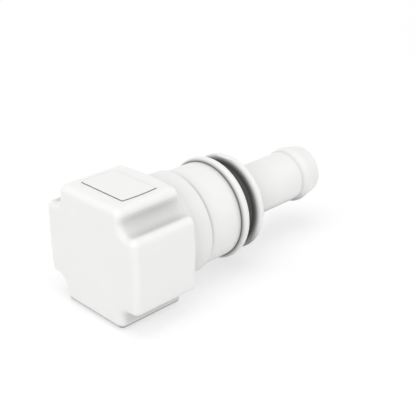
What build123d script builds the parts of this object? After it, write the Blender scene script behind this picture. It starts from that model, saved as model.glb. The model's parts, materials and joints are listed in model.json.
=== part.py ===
"""Plastic quick disconnect coupling: an elbow push-button socket with a shut-off valve and a hose stem.

Millimetres. +Z is up. The plug goes in along X through the left arm of the head, and the hose leaves
along +Y. The two axes cross above the origin, which is the centre of the head's bottom face.
"""

import os
from math import cos, pi, sqrt

from build123d import *

# Head: a block with an upright bar and two side arms, and a notch along each corner
head_width = 23.4
head_height = 21.9
head_depth = 12.75
notch_width = 4.0
notch_height = 4.05
arm_crown = 0.26
bar_corner_r = 1.4
notch_r = 1.9
arm_corner_r = 1.3
front_edge_r = 1.2
arm_wall = 2.0

# Barrel behind the head
collar_d = 19.15
collar_length = 6.3
flare_r = 2.85
barrel_d = 18.05
barrel_length = 7.75
barrel_bore_d = 14.4
barrel_floor = 2.0
body_flange_d = 19.55
flange_thickness = 1.87
rim_flat = 0.07
bore_chamfer = 0.3

# Hose stem
flange_gap = 2.5
stem_flange_d = 18.56
index_flat_depth = 0.35
neck_d = 12.4
hose_stem_d = 10.0
stem_length = 21.2
barb_d = 11.12
barb_crest_r = 2.6
barb_crest_setback = 3.85
stem_tip_d = 9.6
tip_chamfer = 0.25
waterway_d = 7.2
waterway_chamfer = 1.2
spool_clearance = 0.05
spool_end_gap = 0.5
stem_root_chamfer = 0.3

# Seals on the spool of the hose stem, and the ring that keeps it in the barrel
stem_seal_section = 1.3
spool_groove_width = 1.7
spool_groove_setback = 1.7
spool_groove_spacing = 3.3
ring_thickness = 1.1
ring_outer_d = 15.5
ring_inner_d = 12.9
ring_split = 2.0
ring_setback = 3.4
ring_float = 0.05
gasket_outer_d = 15.6

# Plug socket, along X from the mouth of the left arm
mouth_recess = 0.25
plug_bore_d = 7.2
plug_chamfer = 0.5
insert_bore_d = 9.8
bush_length = 7.35
snap_rib_height = 0.25
snap_rib_width = 0.8
snap_rib_setback = 2.6
retainer_length = 1.3
plug_seal_section = 1.5

# Valve
seat_thickness = 1.6
seat_hole_d = 4.4
seat_groove_depth = 0.8
seat_groove_width = 0.9
chamber_d = 8.2
port_d = 4.6
port_setback = 0.3
valve_travel = 2.2
valve_lift_gap = 0.02
poppet_seal_section = 0.8
poppet_hub_d = 4.6
poppet_flange_d = 6.8
poppet_flange_thickness = 1.0
poppet_fin_thickness = 0.7
poppet_fin_count = 3
poppet_fin_clearance = 0.1
poppet_fin_engagement = 1.0
poppet_stem_d = 1.8
poppet_guide_d = 2.8
poppet_guide_length = 2.6
valve_spring_d = 4.4
valve_spring_wire_d = 0.5
valve_spring_turns = 4

# Latch plate
plate_thickness = 1.2
plate_side_clearance = 0.05
plate_edge_clearance = 0.1
plate_web = 1.4
plate_top_web = 1.45
plate_tab_width = 4.4
plate_tongue_width = 2.0
plate_tongue_length = 0.9
latch_travel = 1.5
latch_bore_clearance = 0.1

# Release button
button_width = 10.4
button_length = 7.1
button_bow = 0.2
button_shift = 0.39
button_roof = 0.85
button_rise = 0.1
button_clearance = 0.1
button_floor_gap = 0.1
button_skin = 1.5
button_wall = 1.2

# Latch spring and the cover that it stands on
cover_width = 5.2
cover_length = 11.4
cover_thickness = 1.1
cover_recess = 0.1
cover_corner_r = 0.8
cover_boss_d = 2.4
cover_boss_height = 0.6
latch_spring_d = 3.4
latch_spring_wire_d = 0.4
latch_spring_turns = 3
latch_spring_length = 3.85
spring_pocket_clearance = 0.25
spring_pocket_headroom = 0.15

# Sides that stand for the round section of a seal and of a spring's wire
SEAL_SIDES = 8
WIRE_SIDES = 6

# Places along Y, from the head to the tip of the hose stem
axis_height = head_height / 2
front_y = -head_depth / 2
rear_y = head_depth / 2
bar_x = head_width / 2 - notch_width
arm_z = head_height / 2 - notch_height
arm_x = head_width / 2 - arm_crown
collar_end_y = rear_y + collar_length
body_flange_y = collar_end_y + barrel_length
body_end_y = body_flange_y + flange_thickness
barrel_floor_y = rear_y + barrel_floor
spool_front_y = barrel_floor_y + spool_end_gap
stem_flange_y = body_end_y + flange_gap
stem_root_y = stem_flange_y + flange_thickness
tip_y = stem_root_y + stem_length
crest_y = tip_y - barb_crest_setback
ring_y = body_end_y - ring_setback
ring_end_y = ring_y + ring_thickness
seal_ys = [spool_front_y + spool_groove_setback + n * spool_groove_spacing for n in range(2)]

# Places along X, from the mouth of the socket to the closed arm
mouth_x = -head_width / 2 + mouth_recess
bush_end_x = mouth_x + bush_length
slot_width = plate_thickness + 2 * plate_side_clearance
latch_x = bush_end_x + slot_width / 2
retainer_x = bush_end_x + slot_width
plug_seal_x = retainer_x + retainer_length
seat_x = plug_seal_x + plug_seal_section
seat_face_x = seat_x + seat_thickness
chamber_end_x = head_width / 2 - arm_wall
port_x = seat_face_x + port_setback + port_d / 2
poppet_seal_x = seat_face_x + valve_lift_gap + poppet_seal_section / 2
poppet_flange_x = seat_face_x + valve_lift_gap + poppet_seal_section
poppet_back_x = poppet_flange_x + poppet_flange_thickness

# Places along Z, through the latch
aperture_r = plug_bore_d / 2 + latch_bore_clearance
aperture_z = axis_height + latch_travel
shoulder_z = aperture_z + aperture_r + plate_top_web
plate_width = 2 * (aperture_r + plate_web)
cover_top_z = cover_recess + cover_thickness
plate_bottom_z = cover_top_z + latch_spring_length
window_floor_z = axis_height + insert_bore_d / 2 + button_roof
button_bottom_z = window_floor_z + button_floor_gap + latch_travel
tab_top_z = head_height - button_skin

hose_axis = Axis((0, 0, axis_height), (0, 1, 0))
plug_axis = Axis((0, 0, axis_height), (1, 0, 0))
hose_plane = Plane(origin=(0, 0, axis_height), x_dir=(0, 1, 0), z_dir=(1, 0, 0))
plug_plane = Plane(origin=(0, 0, axis_height), x_dir=(1, 0, 0), z_dir=(0, -1, 0))


def section_plane(y):
    """A plane across the hose axis, with X to the right and Z up; a negative extrusion goes rearwards."""
    return Plane(origin=(0, y, axis_height), x_dir=(1, 0, 0), z_dir=(0, -1, 0))


def band(start, end, inner_r, outer_r):
    """Half section of a ring, between two places along its axis and two radii."""
    with Locations(((start + end) / 2, (inner_r + outer_r) / 2)):
        Rectangle(end - start, outer_r - inner_r)


def ring_part(plane, axis, start, end, inner_d, outer_d):
    """A plain ring about an axis."""
    with BuildPart() as ring:
        with BuildSketch(plane):
            band(start, end, inner_d / 2, outer_d / 2)
        revolve(axis=axis)
    return ring


def flat_sided(half_width, sides):
    """A round section drawn with flats, so that it meets what holds it face to face."""
    RegularPolygon(half_width, sides, major_radius=False, rotation=180 / sides)


def seal_part(plane, axis, place, outer_d, section):
    """An O-ring, of a given section, inside a bore or a groove's outer wall."""
    with BuildPart() as seal:
        with BuildSketch(plane):
            with Locations((place, (outer_d - section) / 2)):
                flat_sided(section / 2, SEAL_SIDES)
        revolve(axis=axis)
    return seal


def spring_part(seat_plane, length, mean_d, wire_d, turns):
    """A compression spring that stands on a plane, between two faces that lie its length apart."""
    rise = length - wire_d
    start = seat_plane.offset(wire_d / 2)
    with BuildPart() as spring:
        with BuildLine():
            coil = Helix(rise / turns, rise, mean_d / 2, center=start.origin, direction=start.z_dir)
        with BuildSketch(Plane(origin=coil @ 0, x_dir=start.z_dir, z_dir=coil % 0)):
            flat_sided(wire_d / 2 * cos(pi / WIRE_SIDES), WIRE_SIDES)
        sweep(path=coil, is_frenet=True)
    return spring


def head_outline():
    """Section of the head: a cross with crowned arms, rounded corners and rounded notches."""
    bar_z = head_height / 2
    with BuildLine() as outline:
        Polyline((0, bar_z), (bar_x, bar_z), (bar_x, arm_z), (arm_x, arm_z))
        ThreePointArc((arm_x, arm_z), (head_width / 2, 0), (arm_x, -arm_z))
        Polyline((arm_x, -arm_z), (bar_x, -arm_z), (bar_x, -bar_z), (0, -bar_z))
        mirror(about=Plane.YZ)
    make_face(outline.edges())


def corners_at(sketch, x, z):
    """The four corners of a section that mirror each other at one distance out and one distance up."""
    return sketch.vertices().filter_by(lambda v: abs(abs(v.X) - x) < 1e-4 and abs(abs(v.Y) - z) < 1e-4)


with BuildSketch(section_plane(front_y)) as head_section:
    head_outline()
    fillet(corners_at(head_section, bar_x, head_height / 2), radius=bar_corner_r)
    fillet(corners_at(head_section, bar_x, arm_z), radius=notch_r)
    fillet(corners_at(head_section, arm_x, arm_z), radius=arm_corner_r)


def button_outline(y, grow=0.0):
    """Outline of the button, with bowed sides, on a level plane; grow makes the window that it slides in."""
    half_x = button_width / 2 + grow
    half_y = button_length / 2 + grow
    with BuildLine() as outline:
        Line((-half_x, y - half_y), (half_x, y - half_y))
        ThreePointArc((half_x, y - half_y), (half_x + button_bow, y), (half_x, y + half_y))
        Line((half_x, y + half_y), (-half_x, y + half_y))
        ThreePointArc((-half_x, y + half_y), (-half_x - button_bow, y), (-half_x, y - half_y))
    make_face(outline.edges())


# Body: head, barrel and rear flange, moulded in one piece
with BuildPart() as flare:
    with BuildSketch(hose_plane):
        with BuildLine():
            Line((rear_y - flare_r, 0), (rear_y - flare_r, collar_d / 2 + flare_r))
            Line((rear_y - flare_r, collar_d / 2 + flare_r), (rear_y, collar_d / 2 + flare_r))
            flare_centre = (rear_y + flare_r, collar_d / 2 + flare_r)
            CenterArc(flare_centre, radius=flare_r, start_angle=180, arc_size=90)
            Line((rear_y + flare_r, collar_d / 2), (rear_y + flare_r, 0))
            Line((rear_y + flare_r, 0), (rear_y - flare_r, 0))
        make_face()
    revolve(axis=hose_axis)
    extrude(head_section.sketch, amount=-(head_depth + flare_r), mode=Mode.INTERSECT)

with BuildPart() as body:
    extrude(head_section.sketch, amount=-head_depth)
    front_edges = body.faces().sort_by(Axis.Y)[0].edges()
    fillet(front_edges, radius=front_edge_r)
    add(flare.part)
    with BuildSketch(hose_plane):
        band(rear_y, collar_end_y, 0, collar_d / 2)
        band(collar_end_y, body_flange_y, 0, barrel_d / 2)
    revolve(axis=hose_axis)
    with BuildSketch(hose_plane) as flange_section:
        band(body_flange_y, body_end_y, 0, body_flange_d / 2)
        rims = flange_section.vertices().group_by(Axis.Y)[-1]
        fillet(rims, radius=(flange_thickness - rim_flat) / 2)
    revolve(axis=hose_axis)

    # Bores for the hose stem, for the valve and for the plug, and the port that joins them
    with BuildSketch(hose_plane):
        band(barrel_floor_y, body_end_y, 0, barrel_bore_d / 2)
        band(ring_y - ring_float, ring_end_y + ring_float, 0, ring_outer_d / 2 + ring_float)
    revolve(axis=hose_axis, mode=Mode.SUBTRACT)
    mouth_edge = body.edges().filter_by(GeomType.CIRCLE).filter_by(
        lambda e: abs(e.radius - barrel_bore_d / 2) < 1e-4
    ).sort_by(Axis.Y)[-1]
    chamfer(mouth_edge, length=bore_chamfer)
    with BuildSketch(plug_plane):
        band(-head_width, seat_face_x, 0, insert_bore_d / 2)
        band(seat_face_x, chamber_end_x, 0, chamber_d / 2)
        rib_x = mouth_x + snap_rib_setback
        band(rib_x, rib_x + snap_rib_width, 0, insert_bore_d / 2 + snap_rib_height)
    revolve(axis=plug_axis, mode=Mode.SUBTRACT)
    with BuildSketch(section_plane(0)):
        with Locations((port_x, 0)):
            Circle(port_d / 2)
    extrude(amount=-barrel_floor_y, mode=Mode.SUBTRACT)

    # Slot for the latch plate, window for the button, and the pocket for the spring and its cover
    slot_height = shoulder_z - cover_recess
    with Locations((latch_x, 0, cover_recess + slot_height / 2)):
        Box(slot_width, plate_width + 2 * plate_edge_clearance, slot_height, mode=Mode.SUBTRACT)
    with BuildSketch(Plane.XY.offset(window_floor_z)):
        button_outline(button_shift, button_clearance)
    extrude(amount=head_height, mode=Mode.SUBTRACT)
    with BuildSketch(Plane.XY):
        with Locations((latch_x, 0)):
            RectangleRounded(cover_width, cover_length, cover_corner_r)
    extrude(amount=cover_top_z, mode=Mode.SUBTRACT)
    pocket_r = latch_spring_d / 2 + latch_spring_wire_d / 2 + spring_pocket_clearance
    with BuildSketch(Plane.XY):
        with Locations((latch_x, 0)):
            Circle(pocket_r)
    extrude(amount=plate_bottom_z + spring_pocket_headroom, mode=Mode.SUBTRACT)

# Socket: the bush at the mouth, the ring that keeps the plug's seal, and the seal
with BuildPart() as mouth_bush:
    with BuildSketch(plug_plane):
        band(mouth_x, bush_end_x, plug_bore_d / 2, insert_bore_d / 2)
        band(rib_x, rib_x + snap_rib_width, plug_bore_d / 2, insert_bore_d / 2 + snap_rib_height)
    revolve(axis=plug_axis)
    mouth_face = mouth_bush.faces().sort_by(Axis.X)[0]
    chamfer(mouth_face.edges().sort_by(SortBy.RADIUS)[0], length=plug_chamfer)

seal_retainer = ring_part(plug_plane, plug_axis, retainer_x, plug_seal_x, plug_bore_d, insert_bore_d)
plug_seal_centre_x = plug_seal_x + plug_seal_section / 2
plug_seal = seal_part(plug_plane, plug_axis, plug_seal_centre_x, insert_bore_d, plug_seal_section)

# Valve: seat and its seal, poppet and its seal, and the spring in the closed arm
seat_groove_x = seat_x + seat_thickness / 2
seat_groove_floor_d = insert_bore_d - 2 * seat_groove_depth
with BuildPart() as valve_seat:
    with BuildSketch(plug_plane):
        band(seat_x, seat_face_x, seat_hole_d / 2, insert_bore_d / 2)
    revolve(axis=plug_axis)
    with BuildSketch(plug_plane):
        band(
            seat_groove_x - seat_groove_width / 2,
            seat_groove_x + seat_groove_width / 2,
            seat_groove_floor_d / 2,
            insert_bore_d,
        )
    revolve(axis=plug_axis, mode=Mode.SUBTRACT)

seat_seal = seal_part(plug_plane, plug_axis, seat_groove_x, insert_bore_d, seat_groove_depth)

poppet_nose_x = seat_x - valve_travel
fin_start_x = seat_face_x - poppet_fin_engagement - valve_travel
with BuildPart() as valve_poppet:
    with BuildSketch(plug_plane):
        band(poppet_nose_x, poppet_flange_x, 0, poppet_stem_d / 2)
        band(seat_face_x + valve_lift_gap, poppet_flange_x, 0, poppet_hub_d / 2)
        band(poppet_flange_x, poppet_back_x, 0, poppet_flange_d / 2)
        band(poppet_back_x, poppet_back_x + poppet_guide_length, 0, poppet_guide_d / 2)
    revolve(axis=plug_axis)
    nose_edge = valve_poppet.faces().sort_by(Axis.X)[0].edges()
    chamfer(nose_edge, length=poppet_stem_d / 4)
    guide_edge = valve_poppet.faces().sort_by(Axis.X)[-1].edges()
    chamfer(guide_edge, length=poppet_stem_d / 4)
    fin_length = seat_face_x + valve_lift_gap - fin_start_x
    fin_height = seat_hole_d / 2 - poppet_fin_clearance
    with BuildSketch(Plane(origin=(fin_start_x, 0, axis_height), x_dir=(0, 1, 0), z_dir=(1, 0, 0))):
        with PolarLocations(0, poppet_fin_count, start_angle=90):
            Rectangle(fin_height, poppet_fin_thickness, align=(Align.MIN, Align.CENTER))
    extrude(amount=fin_length)

poppet_seal_d = poppet_hub_d + 2 * poppet_seal_section
poppet_seal = seal_part(plug_plane, plug_axis, poppet_seal_x, poppet_seal_d, poppet_seal_section)

valve_spring = spring_part(
    Plane(origin=(poppet_back_x, 0, axis_height), x_dir=(0, 1, 0), z_dir=(1, 0, 0)),
    chamber_end_x - poppet_back_x,
    valve_spring_d,
    valve_spring_wire_d,
    valve_spring_turns,
)

# Latch: the plate that holds the plug, the button clipped on its tab, and the spring under it
with BuildPart() as latch_plate:
    plate_plane = Plane(origin=(latch_x, 0, 0), x_dir=(0, 1, 0), z_dir=(1, 0, 0))
    with BuildSketch(plate_plane) as plate_outline:
        with Locations((0, (plate_bottom_z + shoulder_z) / 2)):
            Rectangle(plate_width, shoulder_z - plate_bottom_z)
        fillet(plate_outline.vertices().group_by(Axis.Y)[0], radius=plate_web / 2)
        with Locations((button_shift, (shoulder_z + tab_top_z) / 2)):
            Rectangle(plate_tab_width, tab_top_z - shoulder_z)
        with Locations((0, plate_bottom_z - plate_tongue_length / 2)):
            Rectangle(plate_tongue_width, plate_tongue_length)
        with Locations((0, aperture_z)):
            Circle(aperture_r, mode=Mode.SUBTRACT)
    extrude(amount=plate_thickness / 2, both=True)

with BuildPart() as release_button:
    with BuildSketch(Plane.XY.offset(button_bottom_z)):
        button_outline(button_shift)
    extrude(amount=head_height + button_rise - button_bottom_z)
    tab_depth = tab_top_z - button_bottom_z
    with Locations((latch_x, button_shift, button_bottom_z + tab_depth / 2)):
        Box(plate_thickness, plate_tab_width, tab_depth, mode=Mode.SUBTRACT)
    hollow_start = latch_x + plate_thickness / 2 + button_wall
    hollow_end = button_width / 2 - button_wall
    hollow_x = (hollow_start + hollow_end) / 2
    with Locations((hollow_x, button_shift, button_bottom_z + tab_depth / 2)):
        Box(hollow_end - hollow_start, button_length - 2 * button_wall, tab_depth, mode=Mode.SUBTRACT)

with BuildPart() as latch_cover:
    with BuildSketch(Plane.XY.offset(cover_recess)):
        with Locations((latch_x, 0)):
            RectangleRounded(cover_width, cover_length, cover_corner_r)
    extrude(amount=cover_thickness)
    with BuildSketch(Plane.XY.offset(cover_top_z)):
        with Locations((latch_x, 0)):
            Circle(cover_boss_d / 2)
    extrude(amount=cover_boss_height)

latch_spring = spring_part(
    Plane(origin=(latch_x, 0, cover_top_z)),
    latch_spring_length,
    latch_spring_d,
    latch_spring_wire_d,
    latch_spring_turns,
)

# Hose stem: a spool with seal grooves inside the barrel, a flange, and the barb
spool_d = barrel_bore_d - 2 * spool_clearance
spool_groove_floor_d = barrel_bore_d - 2 * stem_seal_section
with BuildPart() as hose_stem:
    with BuildSketch(hose_plane) as flange_section:
        band(stem_flange_y, stem_root_y, 0, stem_flange_d / 2)
        fillet(flange_section.vertices().group_by(Axis.Y)[-1], radius=(flange_thickness - rim_flat) / 2)
    revolve(axis=hose_axis)
    with BuildSketch(Plane.XY.offset(axis_height + stem_flange_d / 2 - index_flat_depth)):
        with Locations((0, (stem_flange_y + stem_root_y) / 2)):
            Rectangle(stem_flange_d, 2 * flange_thickness)
    extrude(amount=flange_thickness, mode=Mode.SUBTRACT)
    with BuildSketch(hose_plane):
        band(spool_front_y, body_end_y, 0, spool_d / 2)
        band(body_end_y, stem_flange_y, 0, neck_d / 2)
        crest_centre_r = barb_d / 2 - barb_crest_r
        barb_rise = sqrt(barb_crest_r**2 - (hose_stem_d / 2 - crest_centre_r) ** 2)
        barb_start = (crest_y - barb_rise, hose_stem_d / 2)
        with BuildLine():
            Polyline((crest_y, 0), (stem_root_y, 0), (stem_root_y, hose_stem_d / 2), barb_start)
            ThreePointArc(
                barb_start,
                (crest_y - barb_rise / 2, crest_centre_r + sqrt(barb_crest_r**2 - (barb_rise / 2) ** 2)),
                (crest_y, barb_d / 2),
            )
            Polyline((crest_y, barb_d / 2), (tip_y, stem_tip_d / 2), (tip_y, 0), (crest_y, 0))
        make_face()
    revolve(axis=hose_axis)
    root_edge = hose_stem.edges().filter_by(GeomType.CIRCLE).filter_by(
        lambda e: abs(e.radius - hose_stem_d / 2) < 1e-4 and abs(e.center().Y - stem_root_y) < 1e-4
    )
    chamfer(root_edge, length=stem_root_chamfer)
    tip_edge = hose_stem.faces().sort_by(Axis.Y)[-1].edges()
    chamfer(tip_edge, length=tip_chamfer)
    with BuildSketch(hose_plane):
        band(spool_front_y, tip_y, 0, waterway_d / 2)
        for seal_y in seal_ys:
            band(seal_y, seal_y + spool_groove_width, spool_groove_floor_d / 2, barrel_bore_d)
        band(ring_y - ring_float, ring_end_y + ring_float, ring_inner_d / 2 - ring_float, barrel_bore_d)
    revolve(axis=hose_axis, mode=Mode.SUBTRACT)
    funnel_edge = hose_stem.faces().sort_by(Axis.Y)[0].edges().sort_by(SortBy.RADIUS)[0]
    chamfer(funnel_edge, length=waterway_chamfer)

spool_seals = [
    seal_part(hose_plane, hose_axis, seal_y + spool_groove_width / 2, barrel_bore_d, stem_seal_section)
    for seal_y in seal_ys
]
stem_seal_front, stem_seal_rear = spool_seals

with BuildPart() as retaining_ring:
    with BuildSketch(hose_plane):
        band(ring_y, ring_end_y, ring_inner_d / 2, ring_outer_d / 2)
    revolve(axis=hose_axis)
    with Locations((0, ring_y + ring_thickness / 2, axis_height + ring_outer_d / 2)):
        Box(ring_split, 2 * ring_thickness, ring_outer_d, mode=Mode.SUBTRACT)

stem_gasket = ring_part(hose_plane, hose_axis, body_end_y, stem_flange_y, neck_d, gasket_outer_d)

pieces = {
    "body": body,
    "mouth_bush": mouth_bush,
    "seal_retainer": seal_retainer,
    "plug_seal": plug_seal,
    "valve_seat": valve_seat,
    "seat_seal": seat_seal,
    "valve_poppet": valve_poppet,
    "poppet_seal": poppet_seal,
    "valve_spring": valve_spring,
    "latch_plate": latch_plate,
    "release_button": release_button,
    "latch_spring": latch_spring,
    "latch_cover": latch_cover,
    "hose_stem": hose_stem,
    "stem_seal_front": stem_seal_front,
    "stem_seal_rear": stem_seal_rear,
    "retaining_ring": retaining_ring,
    "stem_gasket": stem_gasket,
}

os.makedirs("parts", exist_ok=True)
for name, piece in pieces.items():
    piece.part.label = name
    export_step(piece.part, f"parts/{name}.step")
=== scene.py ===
import json
import math

import bpy
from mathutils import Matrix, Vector

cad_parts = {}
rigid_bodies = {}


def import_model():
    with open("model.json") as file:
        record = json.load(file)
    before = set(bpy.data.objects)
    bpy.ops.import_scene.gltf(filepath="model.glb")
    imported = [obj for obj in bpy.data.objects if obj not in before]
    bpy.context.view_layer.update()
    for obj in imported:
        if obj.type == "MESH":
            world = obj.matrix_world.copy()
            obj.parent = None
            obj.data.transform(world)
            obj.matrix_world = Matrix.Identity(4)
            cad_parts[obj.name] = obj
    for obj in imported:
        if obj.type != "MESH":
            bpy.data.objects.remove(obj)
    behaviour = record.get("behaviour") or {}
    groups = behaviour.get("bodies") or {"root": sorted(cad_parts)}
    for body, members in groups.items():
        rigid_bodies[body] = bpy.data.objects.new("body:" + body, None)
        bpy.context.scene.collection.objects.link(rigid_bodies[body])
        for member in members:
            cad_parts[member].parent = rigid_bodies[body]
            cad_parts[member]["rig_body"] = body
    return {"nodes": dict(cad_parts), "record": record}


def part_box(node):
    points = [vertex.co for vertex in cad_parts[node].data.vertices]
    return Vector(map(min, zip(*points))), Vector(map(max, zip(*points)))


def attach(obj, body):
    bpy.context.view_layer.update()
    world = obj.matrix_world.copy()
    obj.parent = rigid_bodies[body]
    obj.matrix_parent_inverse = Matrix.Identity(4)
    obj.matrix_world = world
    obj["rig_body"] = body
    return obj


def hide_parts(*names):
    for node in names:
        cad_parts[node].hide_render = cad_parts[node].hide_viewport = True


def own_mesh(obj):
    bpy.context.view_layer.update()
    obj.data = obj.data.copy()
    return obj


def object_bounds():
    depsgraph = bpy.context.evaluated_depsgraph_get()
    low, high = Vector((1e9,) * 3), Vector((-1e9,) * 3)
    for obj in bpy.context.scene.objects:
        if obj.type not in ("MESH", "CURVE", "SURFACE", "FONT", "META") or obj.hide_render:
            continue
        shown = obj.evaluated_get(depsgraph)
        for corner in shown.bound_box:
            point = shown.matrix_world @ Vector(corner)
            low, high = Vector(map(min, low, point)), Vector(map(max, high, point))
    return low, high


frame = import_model()
cad_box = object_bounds()
subparts = {entry["node"]: entry for entry in frame["record"]["subparts"]}

MM = 0.001
WHITE = (1.0, 1.0, 1.0, 1.0)

# Camera: where it stands round the part, and how far from the point that it looks at
CAMERA_AZIMUTH = 45.15
CAMERA_ELEVATION = 25.18
CAMERA_DISTANCE = 157.45 * MM
CAMERA_LENS = 73.8
CAMERA_SENSOR = 36.0
CAMERA_RANGE = (0.01, 10.0)
AIM_RIGHT = 0.226 * MM
AIM_UP = 0.090 * MM

# Light: the brightness that each source gives to a white surface that faces it
AMBIENT = 0.52
LAMP_DISTANCE = 0.42
LAMPS = {
    "lamp_over": {"azimuth": 0.0, "elevation": 80.0, "size": 0.30, "brightness": 0.34},
    "lamp_front": {"azimuth": -5.0, "elevation": 12.0, "size": 0.26, "brightness": 0.33},
    "lamp_side": {"azimuth": 95.0, "elevation": 12.0, "size": 0.26, "brightness": 0.37},
    "lamp_back": {"azimuth": 235.0, "elevation": 12.0, "size": 0.30, "brightness": 0.22},
}

# Floor: its paint as the camera sees it and as it lights the part, the distances over which the seen
# paint gives way to plain white, and the light that its glow is balanced for
FLOOR_RADIUS = 2.5
FLOOR_CORNERS = 64
FLOOR_SEEN = 0.42
FLOOR_BOUNCE = 0.7
FLOOR_FADE = (0.1, 0.35)
FLOOR_LIGHT = 0.9

# White plastic
FLOW_SIZE = 4 * MM
FLOW_TINT = 0.97
WAVE_SIZE = 1.6 * MM
WAVE_DEPTH = 0.012 * MM
GRAIN_SIZE = 0.16 * MM
GLOSS_BELOW, GLOSS_ABOVE = 0.05, 0.07
PLASTIC_EDGE = 0.12 * MM
# Painted shade: how far it reaches in hollows and in seams, and the share of the colour that seams are
# painted down to
HOLLOW_REACH = 9 * MM
SEAM_REACH = 1.2 * MM
SEAM_SHARE = 0.3
PLASTIC = {
    "IOR": 1.48,
    "Specular IOR Level": 0.4,
    "Subsurface Weight": 0.12,
    "Subsurface Radius": (1.0, 0.95, 0.85),
    "Subsurface Scale": 0.5 * MM,
}
VALVE_TRANSLUCENCY = 0.2

# Black rubber
BLOOM_SIZE = 1.2 * MM
BLOOM_TINTS = (1.2, 1.9)
RUBBER_GRAIN = 0.12 * MM
RUBBER_GRAIN_DEPTH = 0.02 * MM
RUBBER_ROUGHNESS = (0.55, 0.75)
RUBBER = {"Specular IOR Level": 0.35}

# Stainless steel
MARK_SIZE = 0.1 * MM
MARK_DEPTH = 0.01 * MM
MARK_TINT = 0.9
STEEL_ROUGHNESS = (0.22, 0.4)
STEEL_EDGE = 0.06 * MM
STEEL = {"Metallic": 1.0}

# Painted shade in hollows, a studio effect and no feature of the part: the shares of open sky at which
# it is full, and none. A shade of 1 for the plastics and a SEAM_SHARE of 1 leave the plain colour
HOLLOW_SKY = (0.52, 0.98)
HOLLOW_SAMPLES = 16
EDGE_SAMPLES = 6
NOISE_SPREAD = (0.3, 0.7)

# Round seals, with the axis that each goes round (0 is X and 1 is Y), and round springs, with the axis
# that each lies along; they stand for the solids drawn with flats
SEALS = {"plug_seal": 0, "seat_seal": 0, "poppet_seal": 0, "stem_seal_front": 1, "stem_seal_rear": 1}
SEAL_STEPS = 72
SEAL_SIDES = 20
SPRINGS = {
    "latch_spring": {"axis": 2, "wire": 0.4 * MM, "coils": 3, "joint": "button_press", "travel": 1.5 * MM},
    "valve_spring": {"axis": 0, "wire": 0.5 * MM, "coils": 4, "joint": "valve_open", "travel": -2.2 * MM},
}
END_COILS = 1
COIL_STEPS = 32
WIRE_SIDES = 12


def direction(azimuth, elevation):
    """Unit vector from the part towards a place round it; azimuth 0 is in front, at -Y, and 90 is at +X."""
    turn, rise = math.radians(azimuth), math.radians(elevation)
    return Vector((math.sin(turn) * math.cos(rise), -math.cos(turn) * math.cos(rise), math.sin(rise)))


def facing(outwards):
    """Rotation of a camera or lamp that looks back along a direction."""
    return outwards.to_track_quat("Z", "Y").to_euler()


def box_centre(box):
    """Middle of a box given by its two corners."""
    return (box[0] + box[1]) / 2


def axis_vector(axis):
    """Unit vector along X, Y or Z, for 0, 1 or 2."""
    return Vector([1.0 if place == axis else 0.0 for place in range(3)])


def link(thing):
    """Puts an object in the scene."""
    bpy.context.scene.collection.objects.link(thing)
    return thing


# Shader helpers


def new_material(name):
    """An empty node material, with its node tree and its output."""
    material = bpy.data.materials.new(name)
    material.use_nodes = True
    tree = material.node_tree
    tree.nodes.clear()
    return material, tree, tree.nodes.new("ShaderNodeOutputMaterial")


def add_shader(tree, output, settings):
    """A Principled shader on the output, with numbers set on its own sockets."""
    shader = tree.nodes.new("ShaderNodeBsdfPrincipled")
    for socket, value in settings.items():
        shader.inputs[socket].default_value = value
    tree.links.new(shader.outputs["BSDF"], output.inputs["Surface"])
    return shader


def add_noise(tree, size, detail=2.0, stretch=None):
    """Noise over the object's own space, with features of one size in metres, drawn out if asked."""
    place = tree.nodes.new("ShaderNodeTexCoord").outputs["Object"]
    if stretch is not None:
        mapping = tree.nodes.new("ShaderNodeMapping")
        mapping.inputs["Scale"].default_value = stretch
        tree.links.new(place, mapping.inputs["Vector"])
        place = mapping.outputs["Vector"]
    noise = tree.nodes.new("ShaderNodeTexNoise")
    noise.inputs["Scale"].default_value = 1 / size
    noise.inputs["Detail"].default_value = detail
    tree.links.new(place, noise.inputs["Vector"])
    return noise.outputs["Fac"]


def add_range(tree, value, low, high, spread=NOISE_SPREAD, smooth=False):
    """Spreads a value, by default a noise's middle part, over a range."""
    spreader = tree.nodes.new("ShaderNodeMapRange")
    spreader.interpolation_type = "SMOOTHSTEP" if smooth else "LINEAR"
    spreader.inputs["From Min"].default_value, spreader.inputs["From Max"].default_value = spread
    spreader.inputs["To Min"].default_value = low
    spreader.inputs["To Max"].default_value = high
    tree.links.new(value, spreader.inputs["Value"])
    return spreader.outputs["Result"]


def add_mix(tree, value, first, second):
    """Mixes two colours by a 0 to 1 value."""
    mix = tree.nodes.new("ShaderNodeMix")
    mix.data_type = "RGBA"
    mix.inputs["A"].default_value = (*first, 1.0)
    mix.inputs["B"].default_value = (*second, 1.0)
    tree.links.new(value, mix.inputs["Factor"])
    return mix.outputs["Result"]


def add_math(tree, operation, *values):
    """A Math node; each value is a number or another node's output."""
    node = tree.nodes.new("ShaderNodeMath")
    node.operation = operation
    for socket, value in zip(node.inputs, values):
        if isinstance(value, float):
            socket.default_value = value
        else:
            tree.links.new(value, socket)
    return node.outputs[0]


def add_bump(tree, height, distance, under=None):
    """Turns a height into a surface relief of a given depth in metres, over another relief."""
    bump = tree.nodes.new("ShaderNodeBump")
    bump.inputs["Distance"].default_value = distance
    tree.links.new(height, bump.inputs["Height"])
    if under is not None:
        tree.links.new(under, bump.inputs["Normal"])
    return bump.outputs["Normal"]


def add_rounded_edges(tree, radius):
    """Softens the look of sharp edges by a small radius."""
    bevel = tree.nodes.new("ShaderNodeBevel")
    bevel.samples = EDGE_SAMPLES
    bevel.inputs["Radius"].default_value = radius
    return bevel.outputs["Normal"]


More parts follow.
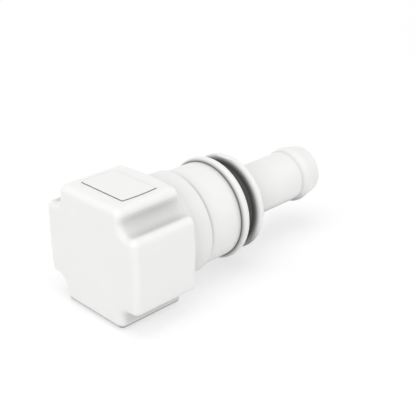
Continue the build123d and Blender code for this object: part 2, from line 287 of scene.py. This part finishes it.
def add_hollow_shade(tree, colour, reach, share, alone):
    """Paints shade into a colour: darker, down to a share, in hollows of the piece alone or of its
    neighbours too.
    """
    hollow = tree.nodes.new("ShaderNodeAmbientOcclusion")
    hollow.samples = HOLLOW_SAMPLES
    hollow.only_local = alone
    hollow.inputs["Distance"].default_value = reach
    scale = tree.nodes.new("ShaderNodeVectorMath")
    scale.operation = "SCALE"
    tree.links.new(colour, scale.inputs["Vector"])
    tree.links.new(add_range(tree, hollow.outputs["AO"], share, 1.0, HOLLOW_SKY), scale.inputs["Scale"])
    return scale.outputs["Vector"]


def slot_colour(slot):
    """Base colour that the record gives a material slot."""
    entries = frame["record"]["materials"]
    return next(tuple(entry["base_color"]) for entry in entries if entry["slot"] == slot)


def tinted(colour, share):
    """A colour made darker or lighter by a share."""
    return tuple(channel * share for channel in colour)


# Materials


def moulded_plastic(slot, gloss, grain_depth, shade=0.15, alone=True, **changes):
    """Moulded plastic: a satin skin with fine grain and soft edges, with painted shade that darkens it in
    hollows and seams.
    """
    material, tree, output = new_material(slot)
    colour = slot_colour(slot)
    shader = add_shader(tree, output, PLASTIC | changes)
    flow = add_noise(tree, FLOW_SIZE, detail=3)
    grain = add_noise(tree, GRAIN_SIZE)
    waves = add_noise(tree, WAVE_SIZE)
    skin_colour = add_mix(tree, flow, colour, tinted(colour, FLOW_TINT))
    # Painted shade: the colour is darkened in hollows, and again in seams within a short reach of other
    # pieces and of the floor
    hollows = add_hollow_shade(tree, skin_colour, HOLLOW_REACH, shade, alone)
    seams = add_hollow_shade(tree, hollows, SEAM_REACH, SEAM_SHARE, alone=False)
    tree.links.new(seams, shader.inputs["Base Color"])
    roughness = add_range(tree, grain, gloss - GLOSS_BELOW, gloss + GLOSS_ABOVE)
    tree.links.new(roughness, shader.inputs["Roughness"])
    skin = add_bump(tree, waves, WAVE_DEPTH, add_rounded_edges(tree, PLASTIC_EDGE))
    tree.links.new(add_bump(tree, grain, grain_depth, skin), shader.inputs["Normal"])
    return material


def moulded_rubber(slot):
    """Black moulded rubber: a dull skin with fine grain and a pale bloom."""
    material, tree, output = new_material(slot)
    colour = slot_colour(slot)
    shader = add_shader(tree, output, RUBBER)
    bloom = add_noise(tree, BLOOM_SIZE, detail=4)
    grain = add_noise(tree, RUBBER_GRAIN)
    dark, pale = [tinted(colour, share) for share in BLOOM_TINTS]
    tree.links.new(add_mix(tree, bloom, dark, pale), shader.inputs["Base Color"])
    tree.links.new(add_range(tree, grain, *RUBBER_ROUGHNESS), shader.inputs["Roughness"])
    tree.links.new(add_bump(tree, grain, RUBBER_GRAIN_DEPTH), shader.inputs["Normal"])
    return material


def stainless(slot, stretch):
    """Stainless steel with fine marks, drawn out by a share of their size along each axis."""
    material, tree, output = new_material(slot)
    colour = slot_colour(slot)
    shader = add_shader(tree, output, STEEL)
    marks = add_noise(tree, MARK_SIZE, detail=3, stretch=stretch)
    tree.links.new(add_mix(tree, marks, tinted(colour, MARK_TINT), colour), shader.inputs["Base Color"])
    tree.links.new(add_range(tree, marks, *STEEL_ROUGHNESS), shader.inputs["Roughness"])
    edges = add_rounded_edges(tree, STEEL_EDGE)
    tree.links.new(add_bump(tree, marks, MARK_DEPTH, edges), shader.inputs["Normal"])
    return material


def seen_background(tree):
    """1 for the rays that show the background: from the camera, from a gloss and through glass."""
    rays = tree.nodes.new("ShaderNodeLightPath")
    seen = rays.outputs["Is Camera Ray"]
    for name in ("Is Glossy Ray", "Is Transmission Ray"):
        seen = add_math(tree, "MAXIMUM", seen, rays.outputs[name])
    return seen


def floor_material():
    """A pale floor that shows the part's shadow, and is plain white further away."""
    material, tree, output = new_material("studio_floor")
    background = seen_background(tree)
    far = tree.nodes.new("ShaderNodeVectorMath")
    far.operation = "LENGTH"
    tree.links.new(tree.nodes.new("ShaderNodeTexCoord").outputs["Object"], far.inputs[0])
    seen_paint = add_range(tree, far.outputs["Value"], FLOOR_SEEN, 0.0, FLOOR_FADE, smooth=True)
    paint_shade = tree.nodes.new("ShaderNodeMix")
    paint_shade.inputs["A"].default_value = FLOOR_BOUNCE
    tree.links.new(background, paint_shade.inputs["Factor"])
    tree.links.new(seen_paint, paint_shade.inputs["B"])
    paint = tree.nodes.new("ShaderNodeBsdfDiffuse")
    tree.links.new(paint_shade.outputs["Result"], paint.inputs["Color"])
    rest = add_math(tree, "MULTIPLY_ADD", seen_paint, -FLOOR_LIGHT, 1.0)
    glow = tree.nodes.new("ShaderNodeEmission")
    glow.inputs["Color"].default_value = WHITE
    tree.links.new(add_math(tree, "MULTIPLY", background, rest), glow.inputs["Strength"])
    both = tree.nodes.new("ShaderNodeAddShader")
    tree.links.new(paint.outputs["BSDF"], both.inputs[0])
    tree.links.new(glow.outputs["Emission"], both.inputs[1])
    tree.links.new(both.outputs["Shader"], output.inputs["Surface"])
    return material


# Studio


def build_camera():
    """Camera at the viewing angle, aimed a little to the side of the part's middle."""
    data = bpy.data.cameras.new("camera")
    data.lens = CAMERA_LENS
    data.sensor_width = CAMERA_SENSOR
    data.clip_start, data.clip_end = CAMERA_RANGE
    camera = link(bpy.data.objects.new("camera", data))
    outwards = direction(CAMERA_AZIMUTH, CAMERA_ELEVATION)
    turn = math.radians(CAMERA_AZIMUTH)
    right = Vector((math.cos(turn), math.sin(turn), 0.0))
    up = outwards.cross(right)
    aim = box_centre(cad_box)
    aim.z = box_centre(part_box("body")).z
    aim += AIM_RIGHT * right + AIM_UP * up
    camera.location = aim + CAMERA_DISTANCE * outwards
    camera.rotation_euler = facing(outwards)
    bpy.context.scene.camera = camera


def build_lamp(name, azimuth, elevation, size, brightness):
    """A large square lamp that faces the middle of the part."""
    data = bpy.data.lights.new(name, "AREA")
    data.shape = "SQUARE"
    data.size = size
    data.energy = brightness * (math.pi * LAMP_DISTANCE) ** 2
    lamp = link(bpy.data.objects.new(name, data))
    outwards = direction(azimuth, elevation)
    lamp.location = box_centre(cad_box) + LAMP_DISTANCE * outwards
    lamp.rotation_euler = facing(outwards)
    lamp.visible_glossy = False


def build_world():
    """Soft light from all round, and a white background behind the floor."""
    world = bpy.data.worlds.new("studio")
    bpy.context.scene.world = world
    world.use_nodes = True
    tree = world.node_tree
    tree.nodes.clear()
    background = tree.nodes.new("ShaderNodeBackground")
    background.inputs["Color"].default_value = WHITE
    strength = add_range(tree, seen_background(tree), AMBIENT, 1.0, spread=(0.0, 1.0))
    output = tree.nodes.new("ShaderNodeOutputWorld")
    tree.links.new(strength, background.inputs["Strength"])
    tree.links.new(background.outputs["Background"], output.inputs["Surface"])


def build_floor():
    """A round floor at the height that the part stands on."""
    turns = [2 * math.pi * step / FLOOR_CORNERS for step in range(FLOOR_CORNERS)]
    corners = [(FLOOR_RADIUS * math.cos(a), FLOOR_RADIUS * math.sin(a), cad_box[0].z) for a in turns]
    mesh = bpy.data.meshes.new("floor")
    mesh.from_pydata(corners, [], [range(FLOOR_CORNERS)])
    mesh.materials.append(floor_material())
    link(bpy.data.objects.new("floor", mesh))


# Part


def tube_mesh(name, centres, outwards, radius, sides, closed):
    """A round tube along a list of points; outwards holds one direction across it for each point."""
    count = len(centres)
    corners = []
    for step, (centre, out) in enumerate(zip(centres, outwards)):
        before = centres[step - 1] if closed or step else centre
        after = centres[(step + 1) % count] if closed or step < count - 1 else centre
        across = (after - before).normalized().cross(out).normalized()
        for side in range(sides):
            turn = 2 * math.pi * side / sides
            corners.append(centre + radius * (math.cos(turn) * out + math.sin(turn) * across))
    faces = []
    for step in range(count if closed else count - 1):
        here, there = step * sides, (step + 1) % count * sides
        for side in range(sides):
            beside = (side + 1) % sides
            faces.append((here + side, there + side, there + beside, here + beside))
    if not closed:
        faces.append(tuple(range(sides)))
        faces.append(tuple(range((count - 1) * sides, count * sides))[::-1])
    mesh = bpy.data.meshes.new(name)
    mesh.from_pydata([tuple(corner) for corner in corners], [], faces)
    mesh.shade_smooth()
    return mesh


def fit_piece(mesh, node, finishes):
    """Puts a mesh in the place of a CAD node, on the node's body and with its finish."""
    piece = link(bpy.data.objects.new(mesh.name, mesh))
    slot = subparts[node]["material_slot"]
    mesh.materials.append(finishes[slot])
    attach(piece, frame["nodes"][node]["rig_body"])
    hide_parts(node)
    return piece


def build_seal(node, axis, finishes):
    """A round O-ring that goes round an axis."""
    low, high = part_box(node)
    centre = (low + high) / 2
    section = (high - low)[axis] / 2
    ring = (high - low)[2] / 2 - section
    turns = [2 * math.pi * step / SEAL_STEPS for step in range(SEAL_STEPS)]
    outwards = [math.cos(turn) * axis_vector(1 - axis) + math.sin(turn) * axis_vector(2) for turn in turns]
    centres = [centre + ring * out for out in outwards]
    mesh = tube_mesh("round_" + node, centres, outwards, section, SEAL_SIDES, closed=True)
    return fit_piece(mesh, node, finishes)


def build_spring(node, axis, wire, coils, joint, travel, finishes):
    """A wire spring with closed ends; travel is not used."""
    low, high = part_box(node)
    centre = (low + high) / 2
    length = (high - low)[axis]
    ring = (high - low)[1] / 2 - wire / 2
    along = axis_vector(axis)
    first, second = axis_vector(1), axis_vector(2 - axis)
    total = coils + 2 * END_COILS
    pitch = (length - wire * (1 + 2 * END_COILS)) / coils
    steps = round(total * COIL_STEPS)
    centres, outwards = [], []
    rise = wire / 2
    for step in range(steps + 1):
        coil = total * step / steps
        out = math.cos(2 * math.pi * coil) * first + math.sin(2 * math.pi * coil) * second
        outwards.append(out)
        centres.append(centre + ring * out + (rise - length / 2) * along)
        ending = coil < END_COILS or coil >= total - END_COILS
        rise += (wire if ending else pitch) * total / steps
    mesh = tube_mesh("round_" + node, centres, outwards, wire / 2, WIRE_SIDES, closed=False)
    spring = fit_piece(mesh, node, finishes)
    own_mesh(spring)
    return spring


def make_finishes():
    """The material of each slot that the record names, and for the hose stem a copy of the white plastic
    that differs only in its painted shade.
    """
    return {
        "white_plastic": moulded_plastic("white_plastic", 0.40, 0.006 * MM),
        # Hose stem: the white plastic with a weaker painted shade in hollows, which also counts the pieces
        # beside it and the floor
        "stem_shaded_plastic": moulded_plastic("white_plastic", 0.40, 0.006 * MM, shade=0.35, alone=False),
        "button_plastic": moulded_plastic("button_plastic", 0.46, 0.010 * MM),
        "valve_plastic": moulded_plastic(
            "valve_plastic", 0.34, 0.003 * MM, **{"Subsurface Weight": VALVE_TRANSLUCENCY}
        ),
        "seal_rubber": moulded_rubber("seal_rubber"),
        "latch_steel": stainless("latch_steel", (1.0, 0.06, 1.0)),
        "spring_steel": stainless("spring_steel", (1.0, 1.0, 1.0)),
    }


def finish_nodes(finishes):
    """Gives every CAD node the material of its slot."""
    for name, subpart in subparts.items():
        frame["nodes"][name].data.materials[0] = finishes[subpart["material_slot"]]
    # The hose stem takes the copy of the white plastic with its own painted shade
    frame["nodes"]["hose_stem"].data.materials[0] = finishes["stem_shaded_plastic"]


finishes = make_finishes()
finish_nodes(finishes)
for seal, seal_axis in SEALS.items():
    build_seal(seal, seal_axis, finishes)
for spring, settings in SPRINGS.items():
    build_spring(spring, finishes=finishes, **settings)
bpy.context.scene.view_settings.view_transform = "Standard"
build_camera()
build_world()
build_floor()
for name, settings in LAMPS.items():
    build_lamp(name, **settings)
